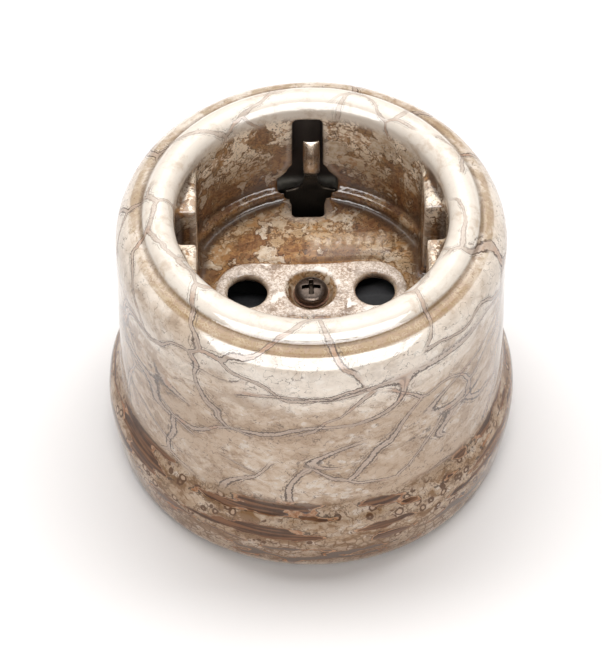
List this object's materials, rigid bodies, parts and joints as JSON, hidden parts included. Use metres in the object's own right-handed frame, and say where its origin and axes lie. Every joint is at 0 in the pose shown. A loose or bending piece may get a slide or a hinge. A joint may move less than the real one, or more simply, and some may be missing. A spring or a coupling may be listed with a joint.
{
  "type": "surface-mounted socket outlet",
  "caption": "Round surface-mounted porcelain socket outlet with a deep plug recess, two pin holes, side earth strips and a lift-off cover.",
  "frame": {"origin": "centre of the back face, on the wall plane", "axes": "+Z out of the wall towards the plug, +X from the left to the right pin hole, +Y from the near to the far earth slot"},
  "size_m": [0.0618, 0.0618, 0.0478],
  "materials": {
    "glazed_porcelain": "glossy marbled glaze in cream, tan, mauve grey and rust brown",
    "raw_porcelain": "unglazed, fine matt grain",
    "black_insert": "black moulded insulating resin",
    "dark_bronze": "dark bronze plating, slightly worn",
    "brass": "bare brass",
    "nickel_strip": "nickel plated spring strip, warm tarnish",
    "zinc_steel": "zinc plated steel",
    "fibre_washer": "red-brown vulcanised fibre"
  },
  "bodies": {
    "base": {"base": "raw_porcelain", "contact_carrier": "black_insert", "shutter_tray": "black_insert", "contact_sleeve_left": "brass", "contact_sleeve_right": "brass", "terminal_left": "brass", "terminal_right": "brass", "earth_terminal": "brass", "centre_nut": "brass", "earth_rivet_near": "brass", "earth_rivet_far": "brass", "earth_bridge": "nickel_strip", "carrier_screw_left": "zinc_steel", "carrier_screw_right": "zinc_steel", "shutter_spring": "zinc_steel"},
    "cover": {"cover": "glazed_porcelain"},
    "cover_screw_travel": {"cover_screw_washer": "fibre_washer"},
    "cover_screw": {"cover_screw": "dark_bronze"},
    "shutter": {"shutter": "black_insert"},
    "earth_strip_near": {"earth_strip_near": "nickel_strip"},
    "earth_strip_far": {"earth_strip_far": "nickel_strip"},
    "wire_clamp_left": {"wire_clamp_left": "zinc_steel"},
    "terminal_screw_left": {"terminal_screw_left": "zinc_steel"},
    "wire_clamp_right": {"wire_clamp_right": "zinc_steel"},
    "terminal_screw_right": {"terminal_screw_right": "zinc_steel"},
    "earth_wire_clamp": {"earth_wire_clamp": "zinc_steel"},
    "earth_terminal_screw": {"earth_terminal_screw": "zinc_steel"}
  },
  "joints": [
    {"name": "cover_lift", "type": "slide", "parent": "base", "child": "cover", "axis": [0, 0, 1], "range_m": [0, 0.048]},
    {"name": "cover_screw_rise", "type": "slide", "parent": "cover", "child": "cover_screw_travel", "axis": [0, 0, 1], "range_m": [0, 0.012]},
    {"name": "cover_screw_turn", "type": "hinge", "parent": "cover_screw_travel", "child": "cover_screw", "pos_m": [0, 0, 0.028], "axis": [0, 0, 1], "range_deg": [0, 8641]},
    {"name": "shutter_turn", "type": "hinge", "parent": "base", "child": "shutter", "pos_m": [0, 0, 0.025], "axis": [0, 0, 1], "range_deg": [0, 36], "stiffness_Nm_per_rad": 0.003, "springref_deg": -8.59},
    {"name": "earth_strip_near_spring", "type": "hinge", "parent": "base", "child": "earth_strip_near", "pos_m": [0, -0.0168, 0.00975], "axis": [1, 0, 0], "range_deg": [0, 4.5], "stiffness_Nm_per_rad": 1, "springref_deg": -2.86},
    {"name": "earth_strip_far_spring", "type": "hinge", "parent": "base", "child": "earth_strip_far", "pos_m": [0, 0.0168, 0.00975], "axis": [-1, 0, 0], "range_deg": [0, 4.5], "stiffness_Nm_per_rad": 1, "springref_deg": -2.86},
    {"name": "wire_clamp_left_rise", "type": "slide", "parent": "base", "child": "wire_clamp_left", "axis": [0, 0, 1], "range_m": [0, 0.00238]},
    {"name": "terminal_screw_left_turn", "type": "hinge", "parent": "wire_clamp_left", "child": "terminal_screw_left", "pos_m": [-0.0181, 0, 0.0175], "axis": [0, 0, 1], "range_deg": [0, 1225]},
    {"name": "wire_clamp_right_rise", "type": "slide", "parent": "base", "child": "wire_clamp_right", "axis": [0, 0, 1], "range_m": [0, 0.00238]},
    {"name": "terminal_screw_right_turn", "type": "hinge", "parent": "wire_clamp_right", "child": "terminal_screw_right", "pos_m": [0.0181, 0, 0.0175], "axis": [0, 0, 1], "range_deg": [0, 1225]},
    {"name": "earth_wire_clamp_rise", "type": "slide", "parent": "base", "child": "earth_wire_clamp", "axis": [0, 0, 1], "range_m": [0, 0.00238]},
    {"name": "earth_terminal_screw_turn", "type": "hinge", "parent": "earth_wire_clamp", "child": "earth_terminal_screw", "pos_m": [-0.009, -0.0145, 0.0175], "axis": [0, 0, 1], "range_deg": [0, 1225]}
  ],
  "couplings": [
    {"joint": "cover_screw_turn", "follows": "cover_screw_rise", "rad_per_m": 12566},
    {"joint": "terminal_screw_left_turn", "follows": "wire_clamp_left_rise", "rad_per_m": 8976},
    {"joint": "terminal_screw_right_turn", "follows": "wire_clamp_right_rise", "rad_per_m": 8976},
    {"joint": "earth_terminal_screw_turn", "follows": "earth_wire_clamp_rise", "rad_per_m": 8976}
  ]
}
